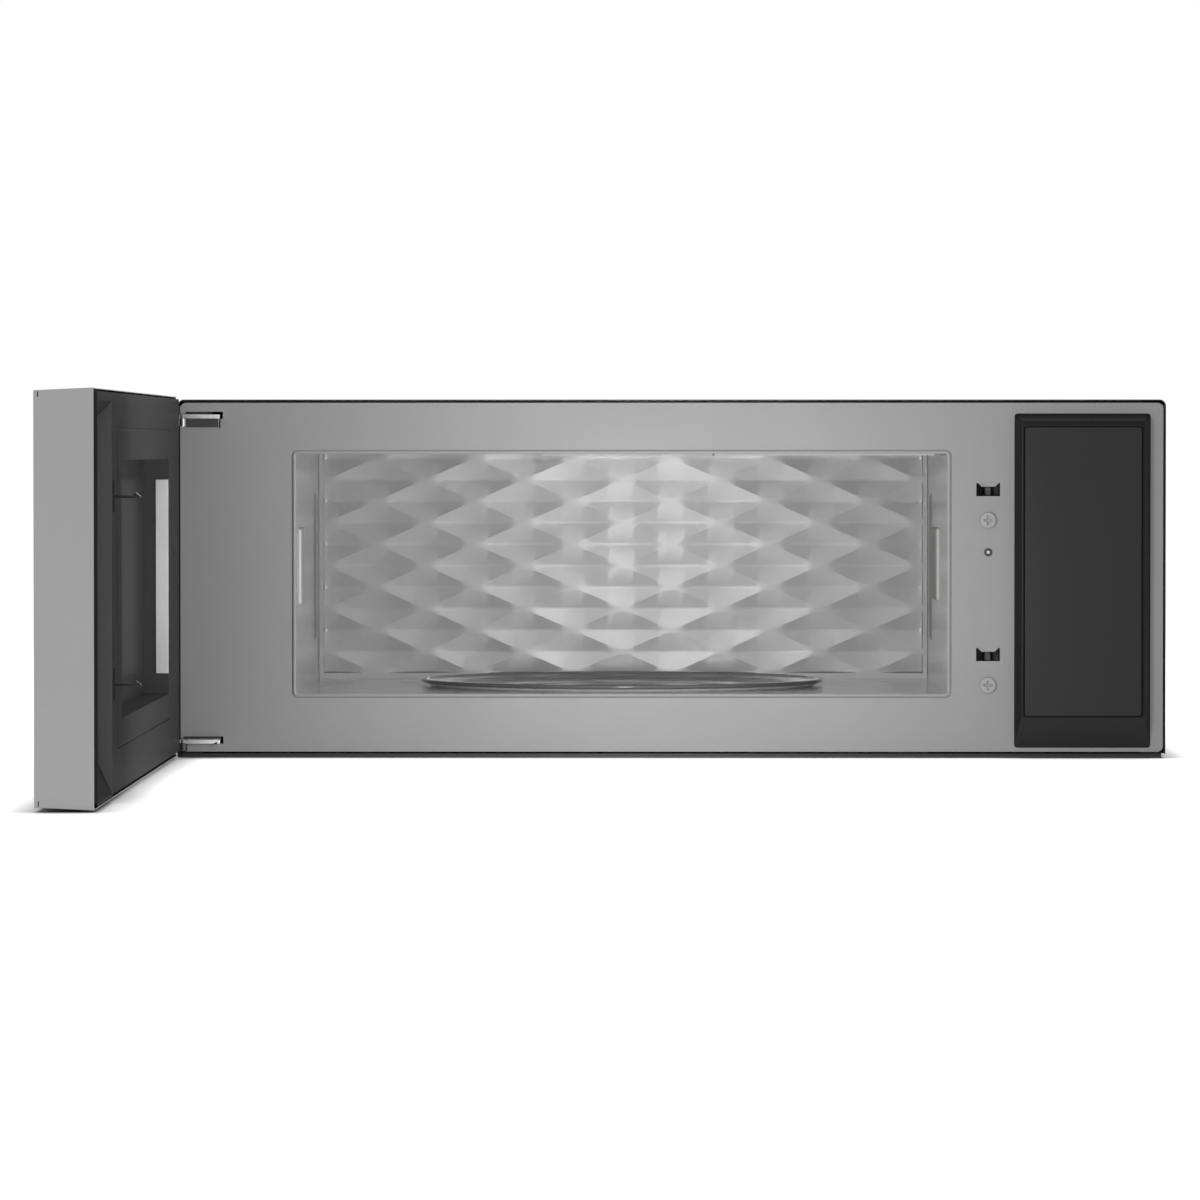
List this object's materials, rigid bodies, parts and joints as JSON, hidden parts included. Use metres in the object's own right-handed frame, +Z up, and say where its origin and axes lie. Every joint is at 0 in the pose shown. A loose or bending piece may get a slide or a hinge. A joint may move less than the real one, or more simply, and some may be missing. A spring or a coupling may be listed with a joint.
{
  "type": "over-the-range microwave",
  "caption": "Low over-the-range microwave oven with a side-hinged door, a glass turntable in a wide cavity and a black bay housing beside the latch.",
  "frame": {"origin": "centre of the base pan's underside", "axes": "+X to the right seen from the front, +Y to the back, +Z up"},
  "size_m": [0.8003, 1.1721, 0.2784],
  "materials": {
    "case_black": "semi-gloss black paint",
    "back_zinc": "plain zinc-coated sheet",
    "base_dark": "dark grey paint",
    "face_grey": "satin grey paint",
    "cavity_grey": "semi-gloss light grey enamel",
    "cavity_relief": "gloss light grey enamel",
    "mica_cover": "matt light board",
    "vent_cover": "semi-gloss light grey enamel",
    "lamp_cover": "frosted",
    "lamp_body": "matt cream",
    "bracket_black": "matt black",
    "switch_body": "matt dark grey",
    "screw_steel": "plain zinc-plated",
    "plunger_white": "white",
    "bay_black": "satin black",
    "bay_cover": "satin dark grey",
    "board_green": "green circuit board",
    "hinge_steel": "bright plated",
    "filter_mesh": "layered mesh",
    "lens_clear": "ribbed clear",
    "charcoal": "granular black",
    "magnetron_metal": "plain",
    "guide_zinc": "plain zinc-coated sheet",
    "core_iron": "varnished laminations",
    "can_aluminium": "plain",
    "shroud_plastic": "matt natural",
    "fan_plastic": "matt white",
    "wheel_plastic": "matt natural",
    "motor_steel": "plain plated",
    "rubber_black": "matt black",
    "cutout_brown": "matt",
    "tray_glass": "clear, seen dark",
    "coupler_white": "natural white",
    "ring_white": "natural white",
    "roller_white": "natural white",
    "door_stainless": "brushed along the door",
    "door_glass": "gloss black",
    "frame_steel": "plain",
    "liner_grey": "satin dark grey",
    "screen_black": "perforated black sheet",
    "window_film": "dark clear",
    "bush_steel": "bright plated",
    "latch_plastic": "satin grey"
  },
  "bodies": {
    "chassis": {"case_top": "case_black", "case_left_side": "case_black", "case_right_side": "case_black", "back_panel": "back_zinc", "base_pan": "base_dark", "face_plate": "face_grey", "cavity_left_wall": "cavity_grey", "cavity_right_wall": "cavity_grey", "cavity_ceiling": "cavity_grey", "cavity_floor": "cavity_grey", "floor_well": "cavity_grey", "cavity_back_wall": "cavity_relief", "cavity_vent_cover": "vent_cover", "waveguide_cover": "mica_cover", "lamp_cover": "lamp_cover", "stirrer_cover": "mica_cover", "cavity_lamp": "lamp_body", "latch_bracket": "bracket_black", "interlock_switches": "switch_body", "latch_screws": "screw_steel", "plunger_sleeve": "bracket_black", "bay_housing": "bay_black", "bay_cover": "bay_cover", "control_board": "board_green", "hinge_bracket_upper": "hinge_steel", "hinge_bracket_lower": "hinge_steel", "case_screws": "screw_steel", "grease_filters": "filter_mesh", "cooktop_lamp": "lamp_body", "cooktop_lens": "lens_clear", "charcoal_filter": "charcoal", "magnetron": "magnetron_metal", "waveguide": "guide_zinc", "transformer": "core_iron", "capacitor": "can_aluminium", "fan_motor": "core_iron", "fan_shroud": "shroud_plastic", "blower_motor": "motor_steel", "blower_housings": "guide_zinc", "turntable_motor": "motor_steel", "cord_gland": "rubber_black", "thermal_cutouts": "cutout_brown"},
    "plunger": {"door_plunger": "plunger_white"},
    "fan": {"cooling_fan": "fan_plastic"},
    "blower": {"blower_wheels": "wheel_plastic"},
    "turntable": {"turntable_tray": "tray_glass", "drive_coupler": "coupler_white"},
    "ring": {"roller_ring": "ring_white"},
    "roller_a": {"roller_1": "roller_white"},
    "roller_b": {"roller_2": "roller_white"},
    "roller_c": {"roller_3": "roller_white"},
    "door": {"door_skin": "door_stainless", "front_glass": "door_glass", "touch_board": "board_green", "door_frame": "frame_steel", "door_liner": "liner_grey", "window_screen": "screen_black", "inner_window": "window_film", "hinge_bushes": "bush_steel"},
    "latch": {"latch_head": "latch_plastic"}
  },
  "joints": [
    {"name": "door_hinge", "type": "hinge", "parent": "chassis", "child": "door", "pos_m": [-0.3758, -0.2106, 0.138], "axis": [0, 0, 1], "range_deg": [-5, 90]},
    {"name": "latch_drop", "type": "slide", "parent": "door", "child": "latch", "axis": [0, 0, -1], "range_m": [0, 0.003], "stiffness_N_per_m": 300, "springref_m": -0.004},
    {"name": "plunger_press", "type": "slide", "parent": "chassis", "child": "plunger", "axis": [0, 1, 0], "range_m": [0, 0.0016], "stiffness_N_per_m": 400, "springref_m": -0.002},
    {"name": "turntable_spin", "type": "hinge", "parent": "chassis", "child": "turntable", "pos_m": [-0.03845, -0.029, 0.045], "axis": [0, 0, 1], "continuous": true},
    {"name": "ring_spin", "type": "hinge", "parent": "chassis", "child": "ring", "pos_m": [-0.03845, -0.029, 0.0405], "axis": [0, 0, 1], "continuous": true},
    {"name": "cooling_fan_spin", "type": "hinge", "parent": "chassis", "child": "fan", "pos_m": [0.29615, 0.145, 0.112], "axis": [0, 1, 0], "continuous": true},
    {"name": "blower_spin", "type": "hinge", "parent": "chassis", "child": "blower", "pos_m": [0, 0.178, 0.2094], "axis": [1, 0, 0], "continuous": true},
    {"name": "roller_a_spin", "type": "hinge", "parent": "ring", "child": "roller_a", "pos_m": [-0.03845, 0.0678, 0.0405], "axis": [0, 1, 0], "continuous": true},
    {"name": "roller_b_spin", "type": "hinge", "parent": "ring", "child": "roller_b", "pos_m": [-0.12228, -0.0774, 0.0405], "axis": [-0.866, -0.5, 0], "continuous": true},
    {"name": "roller_c_spin", "type": "hinge", "parent": "ring", "child": "roller_c", "pos_m": [0.04538, -0.0774, 0.0405], "axis": [0.866, -0.5, 0], "continuous": true}
  ],
  "couplings": [
    {"joint": "ring_spin", "follows": "turntable_spin", "ratio": 0.5},
    {"joint": "roller_a_spin", "follows": "turntable_spin", "ratio": -11.524},
    {"joint": "roller_b_spin", "follows": "turntable_spin", "ratio": -11.524},
    {"joint": "roller_c_spin", "follows": "turntable_spin", "ratio": -11.524}
  ]
}
